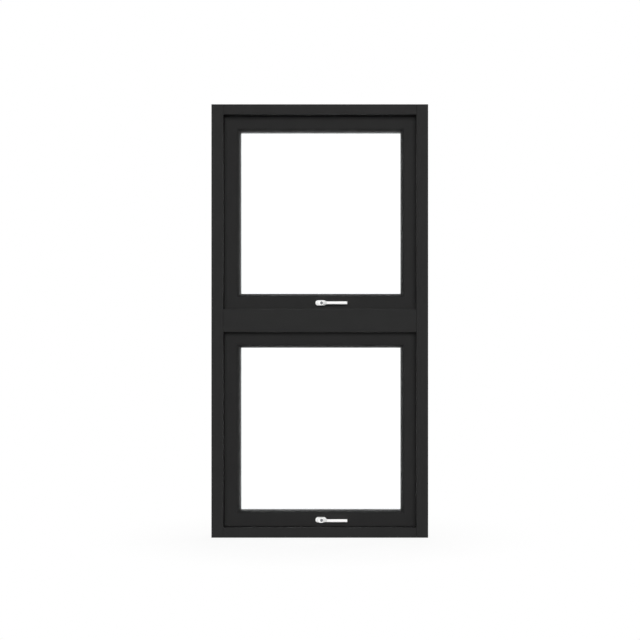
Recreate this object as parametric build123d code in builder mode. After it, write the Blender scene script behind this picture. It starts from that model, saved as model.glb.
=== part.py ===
from build123d import *
import os
from math import asin, atan2, cos, pi, radians, sin, sqrt, tan

# A timber window with two top-hung lights, one above the other, in one frame.
# X is to the right as seen from the room, the room is on the -Y side, Z is up.
# The origin is in the middle of the sill's underside. All sizes are in millimetres.

# Frame
width = 800
height = 1600
depth = 115
jamb_face = 44
head_face = 38
sill_face = 38
transom_face = 86
transom_bottom = 758.5
stop_depth = 50
arris = 3
sill_fall = 5

# Gaps between sash and frame
side_overlap = 12
side_gap = 4
bottom_overlap = 8
bottom_gap = 11
seal_gap = 3

# Weather seal in the frame's stop
seal_inset = 5
seal_groove = 3
seal_groove_depth = 5
seal_stem = 2.6
seal_stem_depth = 4.6
seal_bulb = 5
seal_round = 1.2
soft_clearance = 0.3

# Sash
sash_flat = 45
moulding = 13
moulding_depth = 22
moulding_bulge = 2.6
lip = 24
glass_cover = 12
glass_clearance = 4
room_tape = 2
pane = 4
cavity = 16
outer_tape = 1.5
bead_cover = 11
bead_face = 4.5
bead_inset = 1
bead_joint = 0.2
spacer_edge = 1
spacer_width = 10.5
tape_edge = 1
block_length = 100
block_inset = 90
drip_width = 4
drip_depth = 4
drip_inset = 8

# Butt hinges on the outdoor face
hinge_length = 75
hinge_inset = 140
leaf_height = 20
leaf_thickness = 2.5
knuckle_radius = 4.5
knuckles = 5
hinge_pin_radius = 2.5
axis_proud = 5
knuckle_gap = 0.2
leaf_gap = 0.6
pin_head_radius = 4
pin_head_height = 1.5
running_clearance = 0.05

# Stay arms: the arm is as long as its pivot is far from the hinge axis, so it turns twice as fast
stay_length = 170
stay_inboard = 40.5
arm_width = 12
arm_thickness = 2
stay_stud_radius = 3
stay_washer_radius = 5
stay_clearance = 0.1
rivet_head_radius = 4.5
rivet_head = 0.6
roller_radius = 3.7
roller_length = 3.6
roller_play = 0.3
track_wall = 1.2
track_floor = 1.2
track_depth = 4.5
track_end_play = 0.6
bracket_length = 60
bracket_width = 20
bracket_thickness = 2
open_angle = 30

# Espagnolette lock in the bottom rail
handle_height = 23
faceplate_length = 560
faceplate_width = 16
faceplate_thickness = 2.5
bar_length = 480
bar_width = 9.4
bar_thickness = 3
bar_play = 0.3
gear_module = 1.25
gear_teeth = 16
gear_width = 8
tooth_play = 0.12
rack_addendum = 1.1
rack_teeth = 9
rack_width = 8
handle_turn = 90
case_width = 14
case_plate = 2
case_wall = 1.7
case_play = 0.55
hub_radius = 6
cam_spread = 400
cam_radius = 3.5
cam_stem_radius = 2.5
cam_length = 8
cam_gap = 0.5
cam_play = 0.5
keep_length = 40
keep_back = 10
keep_base = 2
keep_lip = 3
keep_lip_length = 15
keep_lip_top = 4.5
keep_lead = 1.6
rail_play = 0.3
spindle_size = 7
spindle_hole_radius = 6

# Handle
rose_length = 41
rose_across = 2.2
rose_height = 20
rose_thickness = 11
rose_edge = 1.8
rose_socket_depth = 5
collar_radius = 7
lever_gap = 0.3
lever_hub_radius = 9.6
lever_hub_length = 25
lever_hub_front = 15
hub_edge = 2
neck_start = 7
neck_end = 26
neck_height = 15.5
neck_thickness = 11
bar_front = 40
lever_bar_height = 10.8
lever_bar_thickness = 9
lever_bar_round = 3.4
lever_reach = 101
lever_cap = 12
lever_groove = 0.6
button_across = 5.5
button_radius = 5.2
button_clearance = 0.08
button_proud = 2.9
button_travel = 2.5
button_length = 9
button_edge = 0.8

# Fixing holes through the jambs' rebates
fixing_radius = 4
fixing_spacing = 400
fixing_depth_from_room = 80

# Places worked out from the sizes above
y_room = -depth / 2
y_out = depth / 2
y_stop = y_room + stop_depth
y_sash = y_stop + seal_gap
sash_depth = y_out - y_sash
y_gear = y_sash + sash_depth / 2
side_rebate = side_overlap + side_gap
bottom_rebate = bottom_overlap + bottom_gap
half_opening = width / 2 - jamb_face
half_rebate = half_opening + side_rebate
half_sash = half_opening + side_overlap
sightline = sash_flat + moulding
glass_rebate = sightline - glass_cover - glass_clearance
head_bottom = height - head_face
transom_top = transom_bottom + transom_face
lights = {"lower": (sill_face, transom_bottom), "upper": (transom_top, head_bottom)}
y_axis = y_out + axis_proud
axis_above_opening = side_overlap + side_gap / 2
outdoors = Vector(0, 1, 0)

os.makedirs("parts", exist_ok=True)


def keep_piece(part, name):
    """Labels a finished piece and writes its file."""
    part.label = name
    export_step(part, f"parts/{name}.step")


def facing_room(y):
    """A sketch plane seen from the room: its x is X, its y is Z, and it extrudes towards the room."""
    return Plane(origin=(0, y, 0), x_dir=(1, 0, 0), z_dir=(0, -1, 0))


def section_plane(origin, inward):
    """A member's section plane: its x runs inward from the outer edge, its y runs outdoors."""
    across = Vector(*inward)
    return Plane(origin=origin, x_dir=across, z_dir=across.cross(outdoors))


# Frame members


def frame_outline(face, inner_seat, outer_seat):
    """A frame member's section: a stop on the room side and a lower seat behind it, with a round arris."""
    with BuildSketch() as outline:
        with BuildLine():
            Polyline(
                (0, 0),
                (face, 0),
                (face, stop_depth),
                (inner_seat, stop_depth),
                (outer_seat, depth),
                (0, depth),
                close=True,
            )
        make_face()
        fillet(outline.vertices().sort_by_distance((face, 0))[0], arris)
    return outline.sketch


def ring(inner_width, low, high, band):
    """A rectangular band that runs round the outside of an opening."""
    with Locations((0, (low + high) / 2)):
        Rectangle(inner_width + 2 * band, high - low + 2 * band)
        Rectangle(inner_width, high - low, mode=Mode.SUBTRACT)


def ring_round_opening(low, high, inset, band):
    """The band of the given width whose middle lies inset outside an opening."""
    start = inset - band / 2
    ring(2 * (half_opening + start), low - start, high + start, band)


with BuildPart() as seal_grooves:
    for low, high in lights.values():
        with BuildSketch(facing_room(y_stop)):
            ring_round_opening(low, high, seal_inset, seal_groove)
        extrude(amount=seal_groove_depth)

# The slanted line of a stay: the hinge axis, the arm's pivot and its far end lie on it when the sash is shut
stay_slant = asin(stay_inboard / (2 * stay_length))
stay_shut = 2 * stay_length
stay_open = 2 * stay_length * cos(radians(open_angle))


def stay_point(axis_z, distance):
    """Y and Z of a point on the stay's line, at a distance from the hinge axis."""
    return y_axis - distance * sin(stay_slant), axis_z - distance * cos(stay_slant)


def side_plane(side, x):
    """A sketch plane on a sash's edge: its x is Y, its y is Z, and it extrudes towards +X."""
    return Plane(origin=(side * x, 0, 0), x_dir=(0, 1, 0), z_dir=(1, 0, 0))


def stay_slot(axis_z, near, far, breadth):
    """A round-ended slot along the stay's line between two distances from the hinge axis."""
    middle = stay_point(axis_z, (near + far) / 2)
    with Locations(middle):
        SlotCenterToCenter(far - near, breadth, rotation=90 - stay_slant * 180 / pi)


def jamb(side):
    bottom_or_top = 0 if side < 0 else height
    with BuildPart() as member:
        with BuildSketch(section_plane((side * width / 2, y_room, bottom_or_top), (-side, 0, 0))):
            add(frame_outline(jamb_face, jamb_face - side_rebate, jamb_face - side_rebate))
        extrude(amount=height)
        add(seal_grooves.part, mode=Mode.SUBTRACT)
        for low, high in lights.values():
            middle = (low + high) / 2
            fixing_y = y_room + fixing_depth_from_room
            with Locations(
                Location((side * width / 2, fixing_y, middle - fixing_spacing / 2), (0, 90, 0)),
                Location((side * width / 2, fixing_y, middle + fixing_spacing / 2), (0, 90, 0)),
            ):
                Cylinder(fixing_radius, 3 * jamb_face, mode=Mode.SUBTRACT)
            axis_z = high + axis_above_opening
            with BuildSketch(side_plane(side, half_rebate)):
                stay_slot(axis_z, stay_length - bracket_length / 2, stay_length + bracket_length / 2, bracket_width)
            extrude(amount=side * bracket_thickness, mode=Mode.SUBTRACT)
    return member.part


def cross_member(plane_z, inward, face, inner_seat, outer_seat):
    """Head or sill, with ends notched to fit round the jambs' stops."""
    start = -half_rebate if inward[2] < 0 else half_rebate
    with BuildPart() as member:
        with BuildSketch(section_plane((start, y_room, plane_z), inward)):
            add(frame_outline(face, inner_seat, outer_seat))
        extrude(amount=2 * half_rebate)
        notch_ends()
        add(seal_grooves.part, mode=Mode.SUBTRACT)
    return member.part


def notch_ends():
    for side in (-1, 1):
        with Locations((side * (half_opening + half_rebate) / 2, y_room + stop_depth / 2, height / 2)):
            Box(side_rebate, stop_depth, 2 * height, mode=Mode.SUBTRACT)


for side, name in ((-1, "left_jamb"), (1, "right_jamb")):
    keep_piece(jamb(side), name)

head_seat = head_face - side_rebate
keep_piece(cross_member(height, (0, 0, -1), head_face, head_seat, head_seat), "head")
sill_seat = sill_face - bottom_rebate
keep_piece(cross_member(0, (0, 0, 1), sill_face, sill_seat, sill_seat - sill_fall), "sill")

with BuildPart() as transom:
    with BuildSketch(Plane.YZ.offset(-half_rebate)) as transom_outline:
        with BuildLine():
            Polyline(
                (y_room, transom_bottom),
                (y_room, transom_top),
                (y_stop, transom_top),
                (y_stop, transom_top - bottom_rebate),
                (y_out, transom_top - bottom_rebate - sill_fall),
                (y_out, transom_bottom + side_rebate),
                (y_stop, transom_bottom + side_rebate),
                (y_stop, transom_bottom),
                close=True,
            )
        make_face()
        fillet(transom_outline.vertices().group_by(Axis.X)[0], arris)
    extrude(amount=2 * half_rebate)
    notch_ends()
    add(seal_grooves.part, mode=Mode.SUBTRACT)
keep_piece(transom.part, "transom")

with BuildPart() as weather_seals:
    for low, high in lights.values():
        with BuildSketch(facing_room(y_stop)):
            ring_round_opening(low, high, seal_inset, seal_stem)
        extrude(amount=seal_stem_depth)
        with BuildSketch(facing_room(y_sash - soft_clearance)):
            ring_round_opening(low, high, seal_inset, seal_bulb)
        extrude(amount=seal_gap - soft_clearance)
    fillet(weather_seals.faces().sort_by(Axis.Y)[-2:].edges(), seal_round)
keep_piece(weather_seals.part, "weather_seals")


# Sash members


def sash_outline(edge_overlap):
    """A sash member's section from its outer edge to the glass: flat face, moulding, lip and glass rebate."""
    flat = edge_overlap + sash_flat
    sight = edge_overlap + sightline
    middle = Vector((flat + sight) / 2, moulding_depth / 2)
    out_of_chord = Vector(moulding_depth, -moulding).normalized() * moulding_bulge
    with BuildSketch() as outline:
        with BuildLine():
            Line((0, 0), (flat, 0))
            ThreePointArc((flat, 0), middle + out_of_chord, (sight, moulding_depth))
            Polyline(
                (sight, moulding_depth),
                (sight, lip),
                (edge_overlap + glass_rebate, lip),
                (edge_overlap + glass_rebate, sash_depth),
                (0, sash_depth),
                (0, 0),
            )
        make_face()
    return outline.sketch


def front_outline(points):
    """What is cut off a member's end in front of the glass rebate, so that the mouldings meet in a mitre."""
    with BuildSketch(facing_room(y_sash + lip)) as outline:
        with BuildLine():
            Polyline(*points, close=True)
        make_face()
    return outline.sketch


def stile(side, low, high):
    """A stile runs the sash's full height. Its moulding stops at the mitres with the rails."""
    bottom = low - bottom_overlap
    top = high + side_overlap
    flat_x = side * (half_opening - sash_flat)
    sight_x = side * (half_opening - sightline)
    start = bottom if side < 0 else top
    with BuildPart() as member:
        with BuildSketch(section_plane((side * half_sash, y_sash, start), (-side, 0, 0))):
            add(sash_outline(side_overlap))
        extrude(amount=top - bottom)
        for edge, flat_z, sight_z in (
            (bottom, low + sash_flat, low + sightline),
            (top, high - sash_flat, high - sightline),
        ):
            end = front_outline(((flat_x, edge), (flat_x, flat_z), (sight_x, sight_z), (sight_x, edge)))
            extrude(end, amount=lip, mode=Mode.SUBTRACT)
        axis_z = high + axis_above_opening
        with BuildSketch(side_plane(side, half_sash)):
            stay_slot(axis_z, track_near, track_far, track_breadth)
        extrude(amount=-side * (track_depth + track_floor), mode=Mode.SUBTRACT)
    return member.part


def rail(inward_z, low, high):
    """A rail fits between the stiles, with its moulding mitred into theirs."""
    top = inward_z < 0
    overlap = side_overlap if top else bottom_overlap
    edge = high + overlap if top else low - overlap
    flat_z = high - sash_flat if top else low + sash_flat
    sight_z = high - sightline if top else low + sightline
    half_length = half_opening - glass_rebate
    start = -half_length if top else half_length
    with BuildPart() as member:
        with BuildSketch(section_plane((start, y_sash, edge), (0, 0, inward_z))):
            add(sash_outline(overlap))
        extrude(amount=2 * half_length)
        for side in (-1, 1):
            flat_x = side * (half_opening - sash_flat)
            sight_x = side * (half_opening - sightline)
            end_x = side * half_length
            end = front_outline(
                ((end_x, edge), (flat_x, edge), (flat_x, flat_z), (sight_x, sight_z), (end_x, sight_z))
            )
            extrude(end, amount=lip, mode=Mode.SUBTRACT)
        if not top:
            add(lock_cutouts(edge), mode=Mode.SUBTRACT)
            drip_y = y_out - drip_inset
            with Locations((0, drip_y, edge + drip_depth / 2)):
                Box(2 * half_length, drip_width, drip_depth, mode=Mode.SUBTRACT)
    return member.part


# Lock geometry, measured up from the sash's bottom edge
spindle_up = handle_height + bottom_overlap
pitch_radius = gear_module * gear_teeth / 2
bar_travel = pitch_radius * radians(handle_turn)
bar_bottom = faceplate_thickness + bar_play
bar_top = bar_bottom + bar_thickness
pitch_line_up = spindle_up - pitch_radius
tooth_pitch = pi * gear_module
rack_left = -(rack_teeth - 2.5) * tooth_pitch
rack_right = 2.5 * tooth_pitch
tip_radius = pitch_radius + gear_module
root_radius = pitch_radius - 1.25 * gear_module
rack_root_up = pitch_line_up - 1.3 * gear_module
case_radius = tip_radius + case_play
case_left = rack_left - case_play
case_right = rack_right + bar_travel + case_play
case_floor = bar_top + bar_play
case_block_top = pitch_line_up + rack_addendum + case_play
cavity_width = case_width - 2 * case_plate

# Track of the stay's roller
track_breadth = 2 * (roller_radius + roller_play + track_wall)
track_near = stay_open - track_end_play
track_far = stay_shut + track_end_play


def lock_cutouts(edge):
    """Groove for the faceplate, channel for the bar, mortise for the case, hole for the spindle."""
    with BuildPart() as cutouts:
        with Locations((0, y_gear, edge + faceplate_thickness / 2)):
            Box(faceplate_length, faceplate_width, faceplate_thickness)
        channel_top = bar_top + bar_play
        channel_length = bar_length + 2 * bar_travel + 2 * bar_play
        with Locations((0, y_gear, edge + channel_top / 2)):
            Box(channel_length, bar_width + 2 * bar_play, channel_top)
        with BuildSketch(facing_room(y_gear + case_width / 2 + rail_play)):
            case_outline(edge, rail_play)
        extrude(amount=case_width + 2 * rail_play)
        with BuildSketch(facing_room(y_gear)):
            with Locations((0, edge + spindle_up)):
                Circle(spindle_hole_radius)
        extrude(amount=sash_depth)
    return cutouts.part


def case_outline(edge, grow):
    """The gearbox case seen from the room: a low box over the rack and a round top over the pinion."""
    low = edge + faceplate_thickness
    left = case_left - case_wall - grow
    right = case_right + case_wall + grow
    top = edge + case_block_top + case_wall + grow
    with Locations(((left + right) / 2, (low + top) / 2)):
        Rectangle(right - left, top - low)
    with Locations((0, edge + spindle_up)):
        Circle(case_radius + case_wall + grow)


def gearbox_case(edge):
    centre = edge + spindle_up
    with BuildPart() as case:
        with BuildSketch(facing_room(y_gear + case_width / 2)):
            case_outline(edge, 0)
        extrude(amount=case_width)
        with BuildSketch(facing_room(y_gear + cavity_width / 2)):
            low = edge + faceplate_thickness
            top = edge + case_block_top
            with Locations(((case_left + case_right) / 2, (low + top) / 2)):
                Rectangle(case_right - case_left, top - low)
            with Locations((0, centre)):
                Circle(case_radius)
        extrude(amount=cavity_width, mode=Mode.SUBTRACT)
        with Locations((0, y_gear, edge + (faceplate_thickness + case_floor) / 2)):
            Box(2 * width, cavity_width, case_floor - faceplate_thickness, mode=Mode.SUBTRACT)
        with BuildSketch(facing_room(y_gear + case_width / 2)):
            with Locations((0, centre)):
                Circle(hub_radius + running_clearance)
        extrude(amount=case_width, mode=Mode.SUBTRACT)
    return case.part


def faceplate(edge):
    with BuildPart() as plate:
        with Locations((0, y_gear, edge + faceplate_thickness / 2)):
            Box(faceplate_length, faceplate_width, faceplate_thickness)
        fillet(plate.edges().filter_by(Axis.Z), faceplate_width / 4)
        slot = bar_travel + 2 * cam_play
        for cam_x in cam_places:
            with BuildSketch(Plane.XY.offset(edge)):
                with Locations((cam_x + bar_travel / 2, y_gear)):
                    SlotCenterToCenter(slot, 2 * (cam_stem_radius + cam_play))
            extrude(amount=faceplate_thickness, mode=Mode.SUBTRACT)
    return plate.part


def drive_bar(edge):
    """A flat bar with a rack in its middle, whose straight-sided teeth mesh with the pinion."""
    with BuildPart() as bar:
        with Locations((0, y_gear, edge + bar_bottom + bar_thickness / 2)):
            Box(bar_length, bar_width, bar_thickness)
        with BuildSketch(facing_room(y_gear + rack_width / 2)):
            low = edge + bar_top
            root = edge + rack_root_up
            with Locations(((rack_left + rack_right) / 2, (low + root) / 2)):
                Rectangle(rack_right - rack_left, root - low)
            slope = tan(pressure_angle)
            for number in range(rack_teeth):
                middle = rack_left + (number + 0.5) * tooth_pitch
                half_root = tooth_pitch / 4 - tooth_play / 2 + (pitch_line_up - rack_root_up) * slope
                half_tip = tooth_pitch / 4 - tooth_play / 2 - rack_addendum * slope
                tip = edge + pitch_line_up + rack_addendum
                with BuildLine():
                    Polyline(
                        (middle - half_root, root),
                        (middle - half_tip, tip),
                        (middle + half_tip, tip),
                        (middle + half_root, root),
                        close=True,
                    )
                make_face()
        extrude(amount=rack_width)
    return bar.part


pressure_angle = radians(20)
base_radius = pitch_radius * cos(pressure_angle)


def involute_point(radius, half_angle_at_pitch):
    """A point on a tooth's right flank, and its mirror image on the left flank, by its radius."""
    roll = sqrt(max(radius**2 / base_radius**2 - 1, 0))
    at_pitch = tan(pressure_angle) - pressure_angle
    here = roll - atan2(roll, 1)
    return half_angle_at_pitch + at_pitch - here


def pinion(edge):
    """An involute pinion with a hub on each side and a square bore. A gap faces the rack at its lowest point."""
    centre = edge + spindle_up
    half_tooth = pi / (2 * gear_teeth) - tooth_play / (2 * pitch_radius)
    flank_radii = [max(base_radius, root_radius), pitch_radius, tip_radius]
    with BuildPart() as gear:
        with BuildSketch(facing_room(y_gear + gear_width / 2)):
            with Locations((0, centre)):
                Circle(root_radius)
            for number in range(gear_teeth):
                aim = -pi / 2 + (number + 0.5) * 2 * pi / gear_teeth
                right = [gear_point(r, aim - involute_point(r, half_tooth), centre) for r in flank_radii]
                left = [gear_point(r, aim + involute_point(r, half_tooth), centre) for r in flank_radii]
                inner = root_radius - 0.3
                with BuildLine():
                    Line(gear_point(inner, aim - involute_point(base_radius, half_tooth), centre), right[0])
                    ThreePointArc(*right)
                    Line(right[2], left[2])
                    ThreePointArc(*reversed(left))
                    Line(left[0], gear_point(inner, aim + involute_point(base_radius, half_tooth), centre))
                    Line(
                        gear_point(inner, aim + involute_point(base_radius, half_tooth), centre),
                        gear_point(inner, aim - involute_point(base_radius, half_tooth), centre),
                    )
                make_face()
        extrude(amount=gear_width)
        with BuildSketch(facing_room(y_gear + case_width / 2)):
            with Locations((0, centre)):
                Circle(hub_radius)
        extrude(amount=case_width)
        with BuildSketch(facing_room(y_gear + case_width / 2)):
            with Locations((0, centre)):
                Rectangle(spindle_size, spindle_size)
        extrude(amount=case_width, mode=Mode.SUBTRACT)
    return gear.part


def gear_point(radius, angle, centre):
    return radius * cos(angle), centre + radius * sin(angle)


cam_places = [-cam_spread / 2, cam_spread / 2]


def cams(edge):
    """Round cams that stand down from the drive bar through the faceplate's slots."""
    with BuildPart() as pair:
        for cam_x in cam_places:
            with BuildSketch(Plane.XY.offset(edge - cam_length)):
                with Locations((cam_x, y_gear)):
                    Circle(cam_radius)
            extrude(amount=cam_length - cam_gap)
            with BuildSketch(Plane.XY.offset(edge - cam_gap)):
                with Locations((cam_x, y_gear)):
                    Circle(cam_stem_radius)
            extrude(amount=cam_gap + bar_bottom)
    return pair.part


with BuildPart() as lock_keeps:
    lip_inner = y_gear + cam_radius + cam_play
    keep_front = y_gear - keep_back
    keep_rear = lip_inner + keep_lip
    for low, high in lights.values():
        edge = low - bottom_overlap
        seat_slope = sill_fall / (depth - stop_depth)
        front_seat = low - bottom_rebate - (keep_front - y_stop) * seat_slope
        rear_seat = low - bottom_rebate - (keep_rear - y_stop) * seat_slope
        for cam_x in cam_places:
            with BuildSketch(Plane.YZ.offset(cam_x - keep_length / 2)):
                with BuildLine():
                    Polyline(
                        (keep_front, front_seat),
                        (keep_rear, rear_seat),
                        (keep_rear, front_seat + keep_base),
                        (keep_front, front_seat + keep_base),
                        close=True,
                    )
                make_face()
            extrude(amount=keep_length)
            lip_left = cam_x - keep_lip_length * 0.6
            with BuildSketch(Plane.XY.offset(front_seat + keep_base)):
                with BuildLine():
                    Polyline(
                        (lip_left, keep_rear),
                        (lip_left, lip_inner),
                        (lip_left + keep_lip_length - keep_lead, lip_inner),
                        (lip_left + keep_lip_length, lip_inner + keep_lead),
                        (lip_left + keep_lip_length, keep_rear),
                        close=True,
                    )
                make_face()
            extrude(amount=edge - keep_lip_top - front_seat - keep_base)
keep_piece(lock_keeps.part, "lock_keeps")


# Hinges

hinge_places = [-(half_opening - hinge_inset), half_opening - hinge_inset]
knuckle_length = hinge_length / knuckles


def hinge_leaves(axis_z, upward):
    """Two leaves screwed on the outdoor face, each with every other knuckle round its pin."""
    first = 0 if upward > 0 else 1
    with BuildPart() as leaves:
        for place in hinge_places:
            start = place - hinge_length / 2
            near = axis_z + upward * (knuckle_radius + leaf_gap)
            far = axis_z + upward * leaf_height
            with BuildSketch(facing_room(y_out + leaf_thickness)):
                with Locations((place, (near + far) / 2)):
                    Rectangle(hinge_length, leaf_height - knuckle_radius - leaf_gap)
            extrude(amount=leaf_thickness)
            for number in range(first, knuckles, 2):
                left = start + number * knuckle_length + knuckle_gap / 2
                with BuildSketch(Plane.YZ.offset(left)):
                    with BuildLine():
                        Polyline(
                            (y_out, near),
                            (y_out + leaf_thickness, near),
                            (y_out + axis_proud, axis_z),
                            (y_out + axis_proud - knuckle_radius, axis_z),
                            (y_out, axis_z + upward * (knuckle_radius - leaf_thickness)),
                            close=True,
                        )
                    make_face()
                    with Locations((y_axis, axis_z)):
                        Circle(knuckle_radius)
                        Circle(hinge_pin_radius + running_clearance, mode=Mode.SUBTRACT)
                extrude(amount=knuckle_length - knuckle_gap)
    return leaves.part


with BuildPart() as frame_hinge_leaves:
    for low, high in lights.values():
        add(hinge_leaves(high + axis_above_opening, 1))
keep_piece(frame_hinge_leaves.part, "frame_hinge_leaves")

with BuildPart() as hinge_pins:
    for low, high in lights.values():
        for place in hinge_places:
            start = place - hinge_length / 2
            for plane_x, radius, length in (
                (start - pin_head_height, pin_head_radius, pin_head_height),
                (start, hinge_pin_radius, hinge_length),
                (start + hinge_length, pin_head_radius, pin_head_height),
            ):
                with BuildSketch(Plane.YZ.offset(plane_x)):
                    with Locations((y_axis, high + axis_above_opening)):
                        Circle(radius)
                extrude(amount=length)
keep_piece(hinge_pins.part, "hinge_pins")


# Stays

arm_outer = half_rebate - (side_gap - arm_thickness) / 2
arm_inner = arm_outer - arm_thickness

with BuildPart() as stay_brackets:
    for low, high in lights.values():
        axis_z = high + axis_above_opening
        pivot = stay_point(axis_z, stay_length)
        for side in (-1, 1):
            with BuildSketch(side_plane(side, half_rebate)):
                stay_slot(
                    axis_z,
                    stay_length - bracket_length / 2,
                    stay_length + bracket_length / 2,
                    bracket_width,
                )
            extrude(amount=side * bracket_thickness)
            for outer, radius, length in (
                (half_rebate, stay_washer_radius, half_rebate - arm_outer - stay_clearance),
                (arm_outer + stay_clearance, stay_stud_radius, arm_thickness + 2 * stay_clearance),
                (arm_inner - stay_clearance, rivet_head_radius, rivet_head),
            ):
                with BuildSketch(side_plane(side, outer)):
                    with Locations(pivot):
                        Circle(radius)
                extrude(amount=-side * length)
keep_piece(stay_brackets.part, "stay_brackets")


def stay_arm(side, axis_z):
    """A flat arm on the bracket's stud, with a roller on its far end that runs in the sash's track."""
    pivot = stay_point(axis_z, stay_length)
    far_end = stay_point(axis_z, stay_shut)
    with BuildPart() as arm:
        with BuildSketch(side_plane(side, arm_outer)):
            stay_slot(axis_z, stay_length, stay_shut, arm_width)
            with Locations(pivot):
                Circle(stay_stud_radius + running_clearance, mode=Mode.SUBTRACT)
        extrude(amount=-side * arm_thickness)
        with BuildSketch(side_plane(side, arm_inner)):
            with Locations(far_end):
                Circle(stay_stud_radius)
        extrude(amount=-side * (arm_inner - half_sash + roller_play + roller_length))
        with BuildSketch(side_plane(side, half_sash - roller_play)):
            with Locations(far_end):
                Circle(roller_radius)
        extrude(amount=-side * roller_length)
    return arm.part


def stay_tracks(axis_z):
    """A channel let into each stile's edge along the stay's line, open towards the jamb."""
    with BuildPart() as tracks:
        for side in (-1, 1):
            with BuildSketch(side_plane(side, half_sash)):
                stay_slot(axis_z, track_near, track_far, track_breadth)
            extrude(amount=-side * (track_depth + track_floor))
            with BuildSketch(side_plane(side, half_sash)):
                stay_slot(axis_z, track_near, track_far, 2 * (roller_radius + roller_play))
            extrude(amount=-side * track_depth, mode=Mode.SUBTRACT)
    return tracks.part


# Glass and what holds it


def glass_ring(low, high, y_back, thickness, outer_edge, band):
    """A band inside the glass's edge, starting outer_edge in from it."""
    half_glass = half_opening - sightline + glass_cover
    inner_half = half_glass - outer_edge - band
    cover = glass_cover - outer_edge - band
    with BuildPart() as band_round_glass:
        with BuildSketch(facing_room(y_back)):
            ring(2 * inner_half, low + sightline - cover, high - sightline + cover, band)
        extrude(amount=thickness)
    return band_round_glass.part


def glass_pane(low, high, y_back):
    with BuildPart() as sheet:
        with BuildSketch(facing_room(y_back)):
            with Locations((0, (low + high) / 2)):
                Rectangle(
                    2 * (half_opening - sightline + glass_cover),
                    high - low - 2 * sightline + 2 * glass_cover,
                )
        extrude(amount=pane)
    return sheet.part


y_inner_pane = y_sash + lip + room_tape
y_cavity = y_inner_pane + pane
y_outer_pane = y_cavity + cavity
y_bead = y_outer_pane + pane + outer_tape


def glazing_seals(low, high):
    with BuildPart() as tapes:
        add(glass_ring(low, high, y_inner_pane, room_tape, 0, glass_cover - tape_edge))
        add(glass_ring(low, high, y_bead, outer_tape, 0, bead_cover - tape_edge))
    return tapes.part


def glass_spacer(low, high):
    return glass_ring(low, high, y_outer_pane, cavity, spacer_edge, spacer_width)


def glazing_bead(origin, inward, length):
    """A bead with a sloped face and mitred ends, from the rebate's corner at origin."""
    start = section_plane(origin, inward)
    along = start.z_dir
    across = start.x_dir
    bead_height = glass_clearance + bead_cover
    bead_depth = y_out - bead_inset - y_bead
    near = Vector(*origin) + along * bead_joint / 2
    far = near + along * (length - bead_joint)
    corners = [near, near + (along + across) * bead_height, far + (across - along) * bead_height, far]
    with BuildPart() as bead:
        with BuildSketch(start):
            with BuildLine():
                Polyline((0, 0), (bead_height, 0), (bead_height, bead_face), (0, bead_depth), close=True)
            make_face()
        extrude(amount=length)
        with BuildSketch(facing_room(y_out)):
            with BuildLine():
                Polyline(*[(corner.X, corner.Z) for corner in corners], close=True)
            make_face()
        extrude(amount=2 * sash_depth, mode=Mode.INTERSECT)
    return bead.part


def glazing_beads(low, high):
    """Four mitred beads held against the outer pane's tape."""
    half_rebate_opening = half_opening - glass_rebate
    bottom = low + glass_rebate
    top = high - glass_rebate
    with BuildPart() as beads:
        for origin, inward, length in (
            ((-half_rebate_opening, y_bead, bottom), (1, 0, 0), top - bottom),
            ((half_rebate_opening, y_bead, top), (-1, 0, 0), top - bottom),
            ((-half_rebate_opening, y_bead, top), (0, 0, -1), 2 * half_rebate_opening),
            ((half_rebate_opening, y_bead, bottom), (0, 0, 1), 2 * half_rebate_opening),
        ):
            add(glazing_bead(origin, inward, length))
    return beads.part


def setting_blocks(low):
    rebate_floor = low + glass_rebate
    unit_depth = 2 * pane + cavity
    with BuildPart() as blocks:
        for side in (-1, 1):
            centre_x = side * (half_opening - sightline - block_inset)
            with Locations((centre_x, y_inner_pane + unit_depth / 2, rebate_floor + glass_clearance / 2)):
                Box(block_length, unit_depth, glass_clearance)
    return blocks.part


# Handle


def handle_rose(centre):
    with BuildPart() as rose:
        with BuildSketch(facing_room(y_sash)):
            with Locations((rose_across, centre)):
                SlotOverall(rose_length, rose_height)
        extrude(amount=rose_thickness)
        fillet(rose.faces().sort_by(Axis.Y)[0].edges(), rose_edge)
        with BuildSketch(facing_room(y_sash)):
            with Locations((0, centre)):
                Circle(spindle_hole_radius)
        extrude(amount=rose_thickness, mode=Mode.SUBTRACT)
        with BuildSketch(facing_room(y_sash - rose_thickness + rose_socket_depth)):
            with Locations((0, centre)):
                Circle(collar_radius + running_clearance)
        extrude(amount=rose_socket_depth, mode=Mode.SUBTRACT)
    return rose.part


y_rose_front = y_sash - rose_thickness
y_hub_back = y_rose_front - lever_gap
y_hub_front = y_hub_back - lever_hub_front
y_bar_front = y_sash - bar_front
y_bar_middle = y_bar_front + lever_bar_thickness / 2
y_collar_back = y_rose_front + rose_socket_depth - lever_gap
y_button_back = y_hub_front - button_proud + button_length
button_room = button_travel + lever_gap


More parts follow.
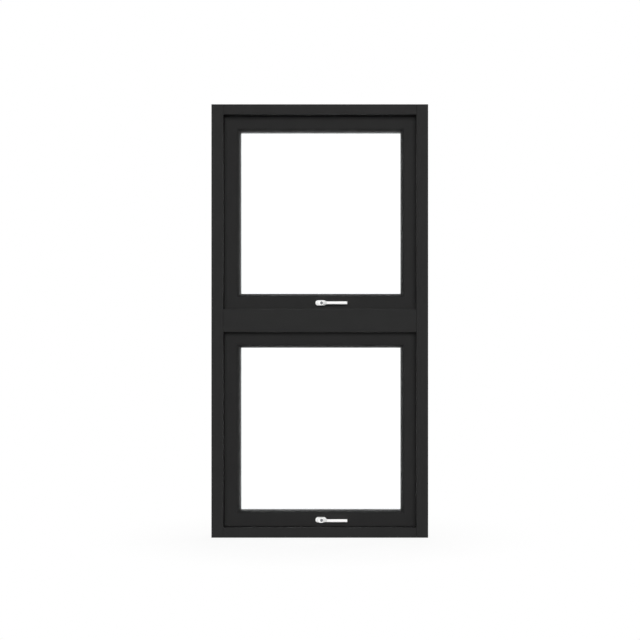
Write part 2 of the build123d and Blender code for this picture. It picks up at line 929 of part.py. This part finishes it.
def lever(centre):
    """A cranked lever: an oval hub on the rose, a neck that steps forward, and a bar with a capped end."""
    y_neck_middle = y_hub_back - neck_thickness / 2 - lever_gap
    hub_across = lever_hub_length / 2 - lever_hub_radius
    with BuildPart() as arm:
        with BuildSketch(facing_room(y_hub_back)):
            with Locations((hub_across, centre)):
                SlotOverall(lever_hub_length, 2 * lever_hub_radius)
        extrude(amount=lever_hub_front)
        fillet(arm.faces().sort_by(Axis.Y)[0].edges(), hub_edge)
        with BuildSketch(facing_room(y_collar_back)):
            with Locations((0, centre)):
                Circle(collar_radius)
        extrude(amount=y_collar_back - y_hub_back)
        with BuildSketch(Plane.YZ.offset(neck_start)):
            with Locations((y_neck_middle, centre)):
                RectangleRounded(neck_thickness, neck_height, neck_thickness / 3)
        with BuildSketch(Plane.YZ.offset(neck_end)):
            with Locations((y_bar_middle, centre)):
                RectangleRounded(lever_bar_thickness, lever_bar_height, lever_bar_round)
        loft()
        cap_x = lever_reach - lever_cap
        for start, end, shrink in (
            (neck_end, cap_x - lever_groove, 0),
            (cap_x - lever_groove, cap_x, lever_groove),
            (cap_x, lever_reach, 0),
        ):
            with BuildSketch(Plane.YZ.offset(start)):
                with Locations((y_bar_middle, centre)):
                    RectangleRounded(
                        lever_bar_thickness - 2 * shrink,
                        lever_bar_height - 2 * shrink,
                        lever_bar_round - shrink,
                    )
            extrude(amount=end - start)
        fillet(arm.faces().sort_by(Axis.X)[-1].edges(), button_edge)
        with BuildSketch(facing_room(y_button_back + button_room)):
            with Locations((button_across, centre)):
                Circle(button_radius + button_clearance)
        extrude(amount=depth, mode=Mode.SUBTRACT)
        with BuildSketch(facing_room(y_collar_back)):
            with Locations((0, centre)):
                Rectangle(spindle_size, spindle_size)
        extrude(amount=rose_socket_depth, mode=Mode.SUBTRACT)
    return arm.part


def spindle(centre):
    front = y_collar_back - rose_socket_depth
    with BuildPart() as square:
        with BuildSketch(facing_room(y_gear + case_width / 2)):
            with Locations((0, centre)):
                Rectangle(spindle_size, spindle_size)
        extrude(amount=y_gear + case_width / 2 - front)
    return square.part


def lock_button(centre):
    with BuildPart() as button:
        with BuildSketch(facing_room(y_button_back)):
            with Locations((button_across, centre)):
                Circle(button_radius)
        extrude(amount=button_length)
        fillet(button.faces().sort_by(Axis.Y)[0].edges(), button_edge)
    return button.part


# Both sashes with their glass, lock and handle

for light, (low, high) in lights.items():
    edge = low - bottom_overlap
    axis_z = high + axis_above_opening
    spindle_z = edge + spindle_up
    pieces = {
        "left_stile": stile(-1, low, high),
        "right_stile": stile(1, low, high),
        "top_rail": rail(-1, low, high),
        "bottom_rail": rail(1, low, high),
        "inner_pane": glass_pane(low, high, y_cavity),
        "outer_pane": glass_pane(low, high, y_outer_pane + pane),
        "glass_spacer": glass_spacer(low, high),
        "glazing_seals": glazing_seals(low, high),
        "glazing_beads": glazing_beads(low, high),
        "setting_blocks": setting_blocks(low),
        "sash_hinge_leaves": hinge_leaves(axis_z, -1),
        "stay_tracks": stay_tracks(axis_z),
        "faceplate": faceplate(edge),
        "gearbox_case": gearbox_case(edge),
        "drive_bar": drive_bar(edge),
        "cams": cams(edge),
        "pinion": pinion(edge),
        "handle_rose": handle_rose(spindle_z),
        "lever": lever(spindle_z),
        "spindle": spindle(spindle_z),
        "lock_button": lock_button(spindle_z),
        "left_stay_arm": stay_arm(-1, axis_z),
        "right_stay_arm": stay_arm(1, axis_z),
    }
    for name, part in pieces.items():
        keep_piece(part, f"{light}_{name}")
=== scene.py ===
import math

import bmesh
import bpy
from mathutils import Matrix, Vector
from mathutils.geometry import tessellate_polygon


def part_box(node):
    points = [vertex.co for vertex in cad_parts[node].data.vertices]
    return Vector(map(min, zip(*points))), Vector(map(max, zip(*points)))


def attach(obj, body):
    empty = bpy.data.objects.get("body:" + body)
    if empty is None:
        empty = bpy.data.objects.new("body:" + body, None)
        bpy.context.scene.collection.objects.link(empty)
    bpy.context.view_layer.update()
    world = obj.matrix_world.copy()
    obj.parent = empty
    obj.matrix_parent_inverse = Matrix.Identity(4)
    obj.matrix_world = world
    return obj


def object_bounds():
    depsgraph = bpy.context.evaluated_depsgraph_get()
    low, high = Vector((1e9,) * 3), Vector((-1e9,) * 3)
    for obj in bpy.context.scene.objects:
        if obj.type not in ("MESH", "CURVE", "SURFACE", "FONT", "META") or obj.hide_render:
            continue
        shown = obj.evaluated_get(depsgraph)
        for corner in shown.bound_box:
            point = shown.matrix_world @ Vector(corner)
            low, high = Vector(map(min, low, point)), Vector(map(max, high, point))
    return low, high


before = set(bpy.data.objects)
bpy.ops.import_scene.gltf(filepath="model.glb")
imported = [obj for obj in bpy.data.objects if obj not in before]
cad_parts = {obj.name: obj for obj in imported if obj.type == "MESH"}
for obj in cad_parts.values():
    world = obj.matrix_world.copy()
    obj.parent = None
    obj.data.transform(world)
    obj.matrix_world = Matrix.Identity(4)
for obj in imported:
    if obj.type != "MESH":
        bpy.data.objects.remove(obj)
cad_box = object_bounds()

# All places are in metres: X to the right seen from the room, Y outdoors, Z up.
MM = 0.001
LIGHTS = ("lower", "upper")

# Camera

# One pixel of the photograph covers this much of the frame's room face
PIXEL = 3.691 * MM
PHOTO_PIXELS = 640
CAMERA_DISTANCE = 5.8
CAMERA_X = 0.26
CAMERA_Z = 0.75
# The point of the room face that is in the middle of the photograph
VIEW_MIDDLE_X = 0.0008
VIEW_MIDDLE_Z = 0.8037
SENSOR_MM = 36


def make_camera():
    """Looks straight at the room face from right of its middle. The shift frames it like the photograph."""
    room_face = cad_box[0].y
    span = PHOTO_PIXELS * PIXEL
    data = bpy.data.cameras.new("photo_camera")
    data.sensor_width = SENSOR_MM
    data.lens = SENSOR_MM * CAMERA_DISTANCE / span
    data.shift_x = (VIEW_MIDDLE_X - CAMERA_X) / span
    data.shift_y = (VIEW_MIDDLE_Z - CAMERA_Z) / span
    camera = bpy.data.objects.new("photo_camera", data)
    camera.location = (CAMERA_X, room_face - CAMERA_DISTANCE, CAMERA_Z)
    camera.rotation_euler = (math.radians(90), 0, 0)
    bpy.context.scene.collection.objects.link(camera)
    bpy.context.scene.camera = camera


# Light

WINDOW_MIDDLE = (0, 0, 0.8)


def soft_box(name, place, size, watts):
    """A rectangular lamp that faces the window, and that no camera, gloss or glass shows."""
    data = bpy.data.lights.new(name, "AREA")
    data.shape = "RECTANGLE"
    data.size, data.size_y = size
    data.energy = watts
    lamp = bpy.data.objects.new(name, data)
    lamp.location = place
    lamp.rotation_mode = "QUATERNION"
    lamp.rotation_quaternion = (Vector(WINDOW_MIDDLE) - lamp.location).to_track_quat("-Z", "Y")
    lamp.visible_camera = False
    lamp.visible_glossy = False
    lamp.visible_transmission = False
    bpy.context.scene.collection.objects.link(lamp)


def light_the_studio():
    """A far front box, a little above eye level, does most. Boxes outdoors reach the glass edges."""
    soft_box("front_box", (1.6, -22.0, 4.0), (11.0, 7.0), 5150)
    soft_box("overhead_box", (-0.3, -1.2, 4.4), (1.6, 1.0), 4)
    soft_box("right_box", (4.4, 0.3, 1.2), (1.0, 2.4), 20)
    soft_box("left_box", (-4.4, 0.6, 1.2), (1.0, 2.4), 24)
    soft_box("outdoor_right_box", (2.8, 2.6, 1.0), (1.4, 2.4), 110)
    soft_box("outdoor_top_box", (0.2, 2.8, 3.4), (2.0, 1.2), 52)
    soft_box("outdoor_box", (-0.6, 5.0, 1.6), (2.4, 2.0), 90)


# Nodes


def add_node(tree, kind, settings=None, links=None):
    """Adds a shader node, sets its values by name and links its inputs."""
    node = tree.nodes.new(kind)
    for name, value in (settings or {}).items():
        if isinstance(name, int) or name in node.inputs:
            node.inputs[name].default_value = value
        else:
            setattr(node, name, value)
    for name, source in (links or {}).items():
        tree.links.new(source, node.inputs[name])
    return node


def linear(hex_colour):
    """An sRGB hex colour as linear values with full alpha."""
    channels = [int(hex_colour[start:start + 2], 16) / 255 for start in (1, 3, 5)]
    return [c / 12.92 if c <= 0.04045 else ((c + 0.055) / 1.055) ** 2.4 for c in channels] + [1.0]


# Background

WHITE = (1, 1, 1, 1)
# Strength of the light from all round
STUDIO_GREY = 0.12
# What a gloss that faces the room shows
ROOM_GLOSS = 0.03
# What two panes reflect away
GLASS_LOSS = 0.17
# How far a direction points outdoors and up, where daylight starts and where it is full
OUTDOORS_RAMP = (-0.12, 0.12)
UPWARD_RAMP = (-0.12, 0.04)


def seen_white(tree, gloss_share=None):
    """One for rays from the camera and through glass. A gloss counts by its share, or in full."""
    ray = add_node(tree, "ShaderNodeLightPath")
    gloss = ray.outputs["Is Glossy Ray"]
    if gloss_share:
        gloss = add_node(
            tree, "ShaderNodeMath", {"operation": "MULTIPLY"}, {0: gloss, 1: gloss_share}
        ).outputs[0]
    direct = add_node(
        tree, "ShaderNodeMath", {"operation": "MAXIMUM"}, {0: ray.outputs["Is Camera Ray"], 1: gloss}
    ).outputs[0]
    return add_node(
        tree, "ShaderNodeMath", {"operation": "MAXIMUM"}, {0: direct, 1: ray.outputs["Is Transmission Ray"]}
    ).outputs[0]


def white_level(tree):
    """One is white. Through glass it is a little more, which makes up for the glass's loss."""
    through_glass = add_node(tree, "ShaderNodeLightPath").outputs["Is Transmission Ray"]
    return add_node(
        tree, "ShaderNodeMath", {"operation": "MULTIPLY_ADD", 1: GLASS_LOSS, 2: 1.0}, {0: through_glass}
    ).outputs[0]


def outdoors_share(tree):
    """One where a direction points outdoors and up, none for the room and the ground, soft between."""
    coordinates = add_node(tree, "ShaderNodeTexCoord").outputs["Generated"]
    way = add_node(tree, "ShaderNodeSeparateXYZ", None, {0: coordinates})
    shares = []
    for axis, (start, end) in (("Y", OUTDOORS_RAMP), ("Z", UPWARD_RAMP)):
        ramp = {
            "From Min": start, "From Max": end, "To Min": 0.0, "To Max": 1.0,
            "interpolation_type": "SMOOTHSTEP",
        }
        shares.append(add_node(tree, "ShaderNodeMapRange", ramp, {"Value": way.outputs[axis]}).outputs[0])
    return add_node(
        tree, "ShaderNodeMath", {"operation": "MULTIPLY"}, {0: shares[0], 1: shares[1]}
    ).outputs[0]


def make_world():
    """Grey studio light all round, white where the background shows, and dim where a gloss shows the room."""
    world = bpy.data.worlds.new("studio")
    bpy.context.scene.world = world
    world.use_nodes = True
    tree = world.node_tree
    tree.nodes.clear()
    gloss = add_node(tree, "ShaderNodeLightPath").outputs["Is Glossy Ray"]
    grey_level = add_node(
        tree, "ShaderNodeMath",
        {"operation": "MULTIPLY_ADD", 1: ROOM_GLOSS - STUDIO_GREY, 2: STUDIO_GREY}, {0: gloss},
    ).outputs[0]
    grey = add_node(tree, "ShaderNodeBackground", {"Color": WHITE}, {"Strength": grey_level})
    white = add_node(tree, "ShaderNodeBackground", {"Color": WHITE}, {"Strength": white_level(tree)})
    share = seen_white(tree, outdoors_share(tree))
    mix = add_node(
        tree, "ShaderNodeMixShader", None, {0: share, 1: grey.outputs[0], 2: white.outputs[0]}
    )
    add_node(tree, "ShaderNodeOutputWorld", None, {"Surface": mix.outputs[0]})


# Floor

FLOOR_SIZE = 16
FLOOR_GAP = 0.2 * MM
# The share of the shadow that the camera sees, and where it is full and where it ends
FLOOR_SHADOW_SHARE = 0.08
SHADOW_CORE = 0.3
SHADOW_REACH = 0.9


def pale_painted_floor():
    """Painted concrete: matt and pale, white to the camera but for a faint share of the shadow."""
    material = bpy.data.materials.new("pale_painted_floor")
    material.use_nodes = True
    tree = material.node_tree
    tree.nodes.clear()
    pale = add_node(tree, "ShaderNodeBsdfDiffuse", {"Color": linear("#E8E8E6")})
    white = add_node(tree, "ShaderNodeEmission", {"Color": WHITE}, {"Strength": white_level(tree)})
    place = add_node(tree, "ShaderNodeTexCoord").outputs["Object"]
    away = add_node(tree, "ShaderNodeVectorMath", {"operation": "LENGTH"}, {0: place}).outputs["Value"]
    ramp = {
        "From Min": SHADOW_CORE, "From Max": SHADOW_REACH, "To Min": 1 - FLOOR_SHADOW_SHARE, "To Max": 1.0,
        "interpolation_type": "SMOOTHSTEP",
    }
    whiteness = add_node(tree, "ShaderNodeMapRange", ramp, {"Value": away}).outputs[0]
    share = add_node(
        tree, "ShaderNodeMath", {"operation": "MULTIPLY"}, {0: seen_white(tree), 1: whiteness}
    ).outputs[0]
    mix = add_node(
        tree, "ShaderNodeMixShader", None, {0: share, 1: pale.outputs[0], 2: white.outputs[0]}
    )
    add_node(tree, "ShaderNodeOutputMaterial", None, {"Surface": mix.outputs[0]})
    return material


def make_floor():
    """A flat studio floor just under the sill. It lights and colours nothing on the window."""
    half = FLOOR_SIZE / 2
    height = cad_box[0].z - FLOOR_GAP
    corners = [(x * half, y * half, height) for x, y in ((-1, -1), (1, -1), (1, 1), (-1, 1))]
    mesh = bpy.data.meshes.new("studio_floor")
    mesh.from_pydata(corners, [], [(0, 1, 2, 3)])
    mesh.materials.append(pale_painted_floor())
    floor = bpy.data.objects.new("studio_floor", mesh)
    floor.visible_diffuse = False
    floor.visible_glossy = False
    bpy.context.scene.collection.objects.link(floor)


# Finishes


def new_finish(name):
    """A material with one shader. Returns the material, its tree, its shader and its place in the object."""
    material = bpy.data.materials.new(name)
    material.use_nodes = True
    tree = material.node_tree
    tree.nodes.clear()
    shader = add_node(tree, "ShaderNodeBsdfPrincipled")
    add_node(tree, "ShaderNodeOutputMaterial", None, {"Surface": shader.outputs[0]})
    place = add_node(tree, "ShaderNodeTexCoord").outputs["Object"]
    return material, tree, shader, place


def speckle(tree, place, cell, detail=2.0, stretch=(1, 1, 1)):
    """Noise whose spots are about one cell wide, in metres, longer along an axis by its stretch."""
    scale = [1 / (cell * s) for s in stretch]
    mapped = add_node(tree, "ShaderNodeMapping", {"Scale": scale}, {"Vector": place}).outputs[0]
    noise = add_node(tree, "ShaderNodeTexNoise", {"Scale": 1.0, "Detail": detail}, {"Vector": mapped})
    return noise.outputs["Fac"]


# Nearly all of the noise lies between these
NOISE_LOW = 0.3
NOISE_HIGH = 0.7


def spread(tree, value, low, high):
    """Maps noise to the range from low to high."""
    ramp = {"From Min": NOISE_LOW, "From Max": NOISE_HIGH, "To Min": low, "To Max": high}
    return add_node(tree, "ShaderNodeMapRange", ramp, {"Value": value}).outputs[0]


def two_tones(tree, share, first, second):
    """Mixes two hex colours by a share from none to one."""
    mix = add_node(
        tree, "ShaderNodeMix", {"data_type": "RGBA", 6: linear(first), 7: linear(second)}, {0: share}
    )
    return mix.outputs[2]


def bump(tree, shader, layers):
    """Stacks bump layers of (height, depth in metres) on a shader."""
    normal = None
    for height, depth in layers:
        links = {"Height": height}
        if normal:
            links["Normal"] = normal
        normal = add_node(tree, "ShaderNodeBump", {"Strength": 1.0, "Distance": depth}, links).outputs[0]
    tree.links.new(normal, shader.inputs["Normal"])


FRAME_TONES = ("#282828", "#2B2B2B")
# The sash's tones are a little darker than the frame's. This is painted shade for the sash, which sits back
# behind the frame's face under the same paint
SASH_TONES_WITH_PAINTED_SHADE = ("#262626", "#292929")
GRAIN_STRETCH = 30


def satin_paint_on_pine(name, grain_axis, tones):
    """Satin paint sprayed on planed pine: near-black grey, with the grain just telegraphing through."""
    material, tree, shader, place = new_finish(name)
    stretch = [1, 1, 1]
    stretch[grain_axis] = GRAIN_STRETCH
    rings = speckle(tree, place, 5 * MM, detail=3, stretch=stretch)
    # Real paint stipple is about 0.4 mm; it is drawn at 1.5 mm so that it shows
    stipple = speckle(tree, place, 1.5 * MM)
    cloud = speckle(tree, place, 60 * MM, detail=1)
    both = add_node(tree, "ShaderNodeMath", {"operation": "ADD"}, {0: rings, 1: cloud}).outputs[0]
    mean = add_node(tree, "ShaderNodeMath", {"operation": "MULTIPLY", 1: 0.5}, {0: both}).outputs[0]
    shade = spread(tree, mean, 0, 1)
    tree.links.new(two_tones(tree, shade, *tones), shader.inputs["Base Color"])
    tree.links.new(spread(tree, stipple, 0.4, 0.5), shader.inputs["Roughness"])
    shader.inputs["Specular IOR Level"].default_value = 0.75
    bump(tree, shader, [(rings, 0.03 * MM), (stipple, 0.015 * MM)])
    return material


def clear_float_glass():
    """Clear float glass: colourless face on, with the faintest waver in what it reflects."""
    material, tree, shader, place = new_finish("clear_float_glass")
    shader.inputs["Base Color"].default_value = linear("#FEFFFF")
    shader.inputs["Transmission Weight"].default_value = 1.0
    shader.inputs["IOR"].default_value = 1.52
    wave = speckle(tree, place, 180 * MM, detail=0)
    tree.links.new(spread(tree, wave, 0.0, 0.012), shader.inputs["Roughness"])
    return material


def roll_formed_aluminium():
    """Roll-formed aluminium spacer: dull silver, with faint roller streaks along it."""
    material, tree, shader, place = new_finish("roll_formed_aluminium")
    streaks = speckle(tree, place, 1.2 * MM, detail=3, stretch=(12, 1, 12))
    tree.links.new(two_tones(tree, streaks, "#9A9C9E", "#B4B6B8"), shader.inputs["Base Color"])
    shader.inputs["Metallic"].default_value = 1.0
    tree.links.new(spread(tree, streaks, 0.32, 0.5), shader.inputs["Roughness"])
    bump(tree, shader, [(streaks, 0.02 * MM)])
    return material


def extruded_rubber():
    """Extruded EPDM rubber: soft black, a little dusty, with a fine dry surface."""
    material, tree, shader, place = new_finish("extruded_epdm_rubber")
    dust = spread(tree, speckle(tree, place, 9 * MM, detail=4), 0, 1)
    fine = speckle(tree, place, 0.8 * MM)
    tree.links.new(two_tones(tree, dust, "#151515", "#1E1E1E"), shader.inputs["Base Color"])
    tree.links.new(spread(tree, fine, 0.62, 0.8), shader.inputs["Roughness"])
    shader.inputs["Specular IOR Level"].default_value = 0.3
    bump(tree, shader, [(fine, 0.03 * MM)])
    return material


def moulded_polypropylene():
    """Injection-moulded polypropylene: blue glazing packers with a faint moulded grain."""
    material, tree, shader, place = new_finish("moulded_polypropylene")
    grain = speckle(tree, place, 0.9 * MM)
    tree.links.new(two_tones(tree, grain, "#26456E", "#2C4E7B"), shader.inputs["Base Color"])
    tree.links.new(spread(tree, grain, 0.4, 0.55), shader.inputs["Roughness"])
    bump(tree, shader, [(grain, 0.03 * MM)])
    return material


def zinc_plated_steel():
    """Pressed steel, bright zinc plated: cool silver with soft clouds and rolling marks."""
    material, tree, shader, place = new_finish("bright_zinc_plated_steel")
    clouds = spread(tree, speckle(tree, place, 7 * MM, detail=3), 0, 1)
    rolled = speckle(tree, place, 0.7 * MM, detail=2, stretch=(14, 1, 1))
    tree.links.new(two_tones(tree, clouds, "#A9ABAE", "#C3C5C8"), shader.inputs["Base Color"])
    shader.inputs["Metallic"].default_value = 1.0
    tree.links.new(spread(tree, rolled, 0.26, 0.42), shader.inputs["Roughness"])
    bump(tree, shader, [(rolled, 0.015 * MM)])
    return material


def white_powder_coat():
    """Die-cast zinc with white powder coat: bright, semi-gloss, with a shallow orange peel."""
    material, tree, shader, place = new_finish("white_powder_coated_zinc")
    # Real orange peel is about 0.8 mm; it is drawn at 1.6 mm so that it shows
    peel = speckle(tree, place, 1.6 * MM, detail=1)
    shade = spread(tree, peel, 0, 1)
    tree.links.new(two_tones(tree, shade, "#F6F6F5", "#FAFAF9"), shader.inputs["Base Color"])
    tree.links.new(spread(tree, peel, 0.26, 0.36), shader.inputs["Roughness"])
    shader.inputs["IOR"].default_value = 1.5
    bump(tree, shader, [(peel, 0.012 * MM)])
    return material


def blasted_nickel_plate():
    """Turned steel, fine-blasted and nickel plated: mid grey beside the white handle, with a soft sheen."""
    material, tree, shader, place = new_finish("blasted_nickel_plate")
    fine = speckle(tree, place, 0.5 * MM, detail=3)
    tree.links.new(two_tones(tree, fine, "#808184", "#939497"), shader.inputs["Base Color"])
    # The blasted grain scatters most of the light, so the metal reads as partly matt
    shader.inputs["Metallic"].default_value = 0.3
    tree.links.new(spread(tree, fine, 0.4, 0.55), shader.inputs["Roughness"])
    bump(tree, shader, [(fine, 0.01 * MM)])
    return material


def recess_steel_in_painted_shade():
    """Steel drawn almost black as painted shade for a driver recess, with a little grit."""
    material, tree, shader, place = new_finish("recess_steel_in_painted_shade")
    grit = speckle(tree, place, 0.4 * MM, detail=3)
    tree.links.new(two_tones(tree, grit, "#1C1C1D", "#2E2E30"), shader.inputs["Base Color"])
    shader.inputs["Metallic"].default_value = 1.0
    tree.links.new(spread(tree, grit, 0.45, 0.65), shader.inputs["Roughness"])
    bump(tree, shader, [(grit, 0.02 * MM)])
    return material


# Dressing the frame's own pieces

UPRIGHT_AXIS = 2
LEVEL_AXIS = 0
ZINC_ON_THE_FRAME = ("frame_hinge_leaves", "hinge_pins", "lock_keeps", "stay_brackets")
ZINC_ON_A_SASH = (
    "sash_hinge_leaves", "stay_tracks", "faceplate", "gearbox_case", "drive_bar", "cams", "pinion",
    "spindle", "left_stay_arm", "right_stay_arm",
)
PANES = ("inner_pane", "outer_pane")


def paint(material, *nodes):
    for name in nodes:
        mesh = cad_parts[name].data
        mesh.materials.clear()
        mesh.materials.append(material)


def dress_the_frame(zinc):
    """Gives each node of the frame its finish. The panes cast no shadow, as clear glass casts almost none."""
    upright = satin_paint_on_pine("satin_paint_on_upright_frame_pine", UPRIGHT_AXIS, FRAME_TONES)
    level = satin_paint_on_pine("satin_paint_on_level_frame_pine", LEVEL_AXIS, FRAME_TONES)
    # The sash materials carry the darker tones, as painted shade for the set-back sash
    sash_upright = satin_paint_on_pine("satin_paint_on_upright_sash_pine_with_painted_shade", UPRIGHT_AXIS, SASH_TONES_WITH_PAINTED_SHADE)
    sash_level = satin_paint_on_pine("satin_paint_on_level_sash_pine_with_painted_shade", LEVEL_AXIS, SASH_TONES_WITH_PAINTED_SHADE)
    rubber = extruded_rubber()
    glass = clear_float_glass()
    aluminium = roll_formed_aluminium()
    packer = moulded_polypropylene()
    powder = white_powder_coat()
    nickel = blasted_nickel_plate()
    paint(upright, "left_jamb", "right_jamb")
    paint(level, "head", "transom", "sill")
    paint(rubber, "weather_seals")
    paint(zinc, *ZINC_ON_THE_FRAME)
    for light in LIGHTS:
        paint(sash_upright, f"{light}_left_stile", f"{light}_right_stile")
        paint(sash_level, f"{light}_top_rail", f"{light}_bottom_rail", f"{light}_glazing_beads")
        paint(aluminium, f"{light}_glass_spacer")
        paint(rubber, f"{light}_glazing_seals")
        paint(packer, f"{light}_setting_blocks")
        paint(powder, f"{light}_handle_rose", f"{light}_lever")
        paint(nickel, f"{light}_lock_button")
        for part in ZINC_ON_A_SASH:
            paint(zinc, f"{light}_{part}")
        for pane in PANES:
            paint(glass, f"{light}_{pane}")
            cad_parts[f"{light}_{pane}"].visible_shadow = False


# Screws

SCREW_RADIUS = 3.0 * MM
RAISED_HEAD = 0.9 * MM
LOW_HEAD = 0.25 * MM
FLUSH_HEAD = 0.12 * MM
# How deep the underside of a head sits in its plate
HEAD_SEAT = 0.3 * MM
RIM_STEPS = 28
# Rings of the head from its edge inwards: share of the radius, share of the height
HEAD_PROFILE = ((1.0, 0.25), (0.95, 0.6), (0.86, 0.88), (0.74, 1.0))
RECESS_ARM = 1.9 * MM
RECESS_HALF = 0.42 * MM
RECESS_TAPER = 0.85
RECESS_FLOOR = 0.04 * MM
# Each screw of a row is turned this much more than the one before it, in radians
TURN_STEP = 0.7


def screw_head(shell, place, outward, turn, proud):
    """A cross-recess head: a rounded rim, a flat face with a cross cut in it, and a shallow recess in painted
    shade.
    """
    axis = Vector(outward).normalized()
    side = axis.orthogonal().normalized()
    side.rotate(Matrix.Rotation(turn, 3, axis))
    up = axis.cross(side)

    def at(x, y, rise):
        return Vector(place) + side * x + up * y + axis * rise

    def circle(radius, rise):
        turns = [2 * math.pi * step / RIM_STEPS for step in range(RIM_STEPS)]
        return [shell.verts.new(at(radius * math.cos(t), radius * math.sin(t), rise)) for t in turns]

    arm, half = RECESS_ARM, RECESS_HALF
    cross = [
        (arm, -half), (arm, half), (half, half), (half, arm), (-half, arm), (-half, half),
        (-arm, half), (-arm, -half), (-half, -half), (-half, -arm), (half, -arm), (half, -half),
    ]
    base = circle(SCREW_RADIUS, -HEAD_SEAT)
    rings = [base] + [circle(SCREW_RADIUS * size, proud * rise) for size, rise in HEAD_PROFILE]
    face = rings[-1]
    lip = [shell.verts.new(at(x, y, proud)) for x, y in cross]
    pit = [shell.verts.new(at(x * RECESS_TAPER, y * RECESS_TAPER, RECESS_FLOOR)) for x, y in cross]
    for lower, higher in list(zip(rings, rings[1:])) + [(lip, pit)]:
        for i in range(len(lower)):
            j = (i + 1) % len(lower)
            wall = shell.faces.new((lower[i], lower[j], higher[j], higher[i]))
            # The recess walls and floor take the second material, painted shade that stands in for the
            # recess's own shade
            wall.material_index = int(lower is lip)
    shell.faces.new(pit).material_index = 1
    outline = face + lip
    for triangle in tessellate_polygon([[v.co for v in face], [v.co for v in lip]]):
        shell.faces.new([outline[i] for i in triangle])
    shell.faces.new(list(reversed(base)))


def screws(name, body, places, materials, proud):
    """One piece of several screws. Each place is a point and the way that the head faces."""
    shell = bmesh.new()
    for number, (place, outward) in enumerate(places):
        screw_head(shell, place, outward, TURN_STEP * number, proud)
    bmesh.ops.recalc_face_normals(shell, faces=shell.faces)
    mesh = bpy.data.meshes.new(name)
    shell.to_mesh(mesh)
    shell.free()
    for material in materials:
        mesh.materials.append(material)
    piece = bpy.data.objects.new(name, mesh)
    bpy.context.scene.collection.objects.link(piece)
    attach(piece, body)


OUTDOORS = (0, 1, 0)
UP = (0, 0, 1)
DOWN = (0, 0, -1)
HINGE_LENGTH = 75 * MM
LEAF_THICKNESS = 2.5 * MM
KNUCKLE_RADIUS = 4.5 * MM
HINGE_SCREW_SPACING = 28 * MM
HINGE_SCREW_REACH = 13 * MM
FACEPLATE_SCREW_X = (-268 * MM, -60 * MM, 60 * MM, 268 * MM)
CAM_X = 200 * MM
KEEP_SCREW_REACH = 14 * MM
# The keeps' middle and top face, seen from the middle and underside of the faceplate
KEEP_ROOMWARD = 4 * MM
KEEP_BELOW_PLATE = 10.846 * MM
STAY_LENGTH = 170 * MM
# How far the shut stay's roller sits to the room side of the hinge axis
STAY_INBOARD = 40.5 * MM
STAY_SLANT = math.asin(STAY_INBOARD / (2 * STAY_LENGTH))
BRACKET_THICKNESS = 2 * MM
BRACKET_SCREW_REACH = 29 * MM


def hinge_axis(light):
    """Height of the axis that a sash swings on, from the top of its knuckles."""
    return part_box(f"{light}_sash_hinge_leaves")[1].z - KNUCKLE_RADIUS


def hinge_screw_places(light, upward):
    """Three on the leaf of either hinge: the frame's, above the axis, or the sash's, below it."""
    leaf_low, leaf_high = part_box("frame_hinge_leaves")
    y = leaf_low.y + LEAF_THICKNESS
    z = hinge_axis(light) + upward * HINGE_SCREW_REACH
    hinge_x = leaf_high.x - HINGE_LENGTH / 2
    return [
        (Vector((hinge + step * HINGE_SCREW_SPACING, y, z)), OUTDOORS)
        for hinge in (-hinge_x, hinge_x)
        for step in (-1, 0, 1)
    ]


def faceplate_screw_places(light):
    """Four along the middle of the faceplate."""
    low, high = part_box(f"{light}_faceplate")
    y = (low.y + high.y) / 2
    return [(Vector((x, y, low.z)), DOWN) for x in FACEPLATE_SCREW_X]


def keep_screw_places(light):
    """Two on each keep, one at either side of its cam."""
    low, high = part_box(f"{light}_faceplate")
    y = (low.y + high.y) / 2 - KEEP_ROOMWARD
    z = low.z - KEEP_BELOW_PLATE
    return [
        (Vector((cam + reach, y, z)), UP)
        for cam in (-CAM_X, CAM_X)
        for reach in (-KEEP_SCREW_REACH, KEEP_SCREW_REACH)
    ]


def bracket_screw_places(light):
    """Two on each stay bracket, one at either end of the plate, in line with the shut stay."""
    bracket_low, bracket_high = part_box("stay_brackets")
    pin_low, pin_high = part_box("hinge_pins")
    axis_y = (pin_low.y + pin_high.y) / 2
    axis_z = hinge_axis(light)
    places = []
    for side, plate_x in ((-1, bracket_low.x), (1, bracket_high.x)):
        for reach in (STAY_LENGTH - BRACKET_SCREW_REACH, STAY_LENGTH + BRACKET_SCREW_REACH):
            x = plate_x - side * BRACKET_THICKNESS
            y = axis_y - reach * math.sin(STAY_SLANT)
            z = axis_z - reach * math.cos(STAY_SLANT)
            places.append((Vector((x, y, z)), (-side, 0, 0)))
    return places


def drive_the_screws(materials):
    """Raised heads on the hinge leaves, low ones on the faceplates, flush ones on the keeps and brackets."""
    on_frame_leaves, on_keeps, on_brackets = [], [], []
    for light in LIGHTS:
        on_sash_leaves = hinge_screw_places(light, -1)
        on_faceplate = faceplate_screw_places(light)
        screws(f"{light}_sash_hinge_screws", f"{light}_sash", on_sash_leaves, materials, RAISED_HEAD)
        screws(f"{light}_faceplate_screws", f"{light}_sash", on_faceplate, materials, LOW_HEAD)
        on_frame_leaves += hinge_screw_places(light, 1)
        on_keeps += keep_screw_places(light)
        on_brackets += bracket_screw_places(light)
    screws("frame_hinge_screws", "frame", on_frame_leaves, materials, RAISED_HEAD)
    screws("lock_keep_screws", "frame", on_keeps, materials, FLUSH_HEAD)
    screws("stay_bracket_screws", "frame", on_brackets, materials, FLUSH_HEAD)


make_camera()
bpy.context.scene.view_settings.view_transform = "Standard"
make_world()
light_the_studio()
make_floor()
zinc = zinc_plated_steel()
dress_the_frame(zinc)
drive_the_screws((zinc, recess_steel_in_painted_shade()))
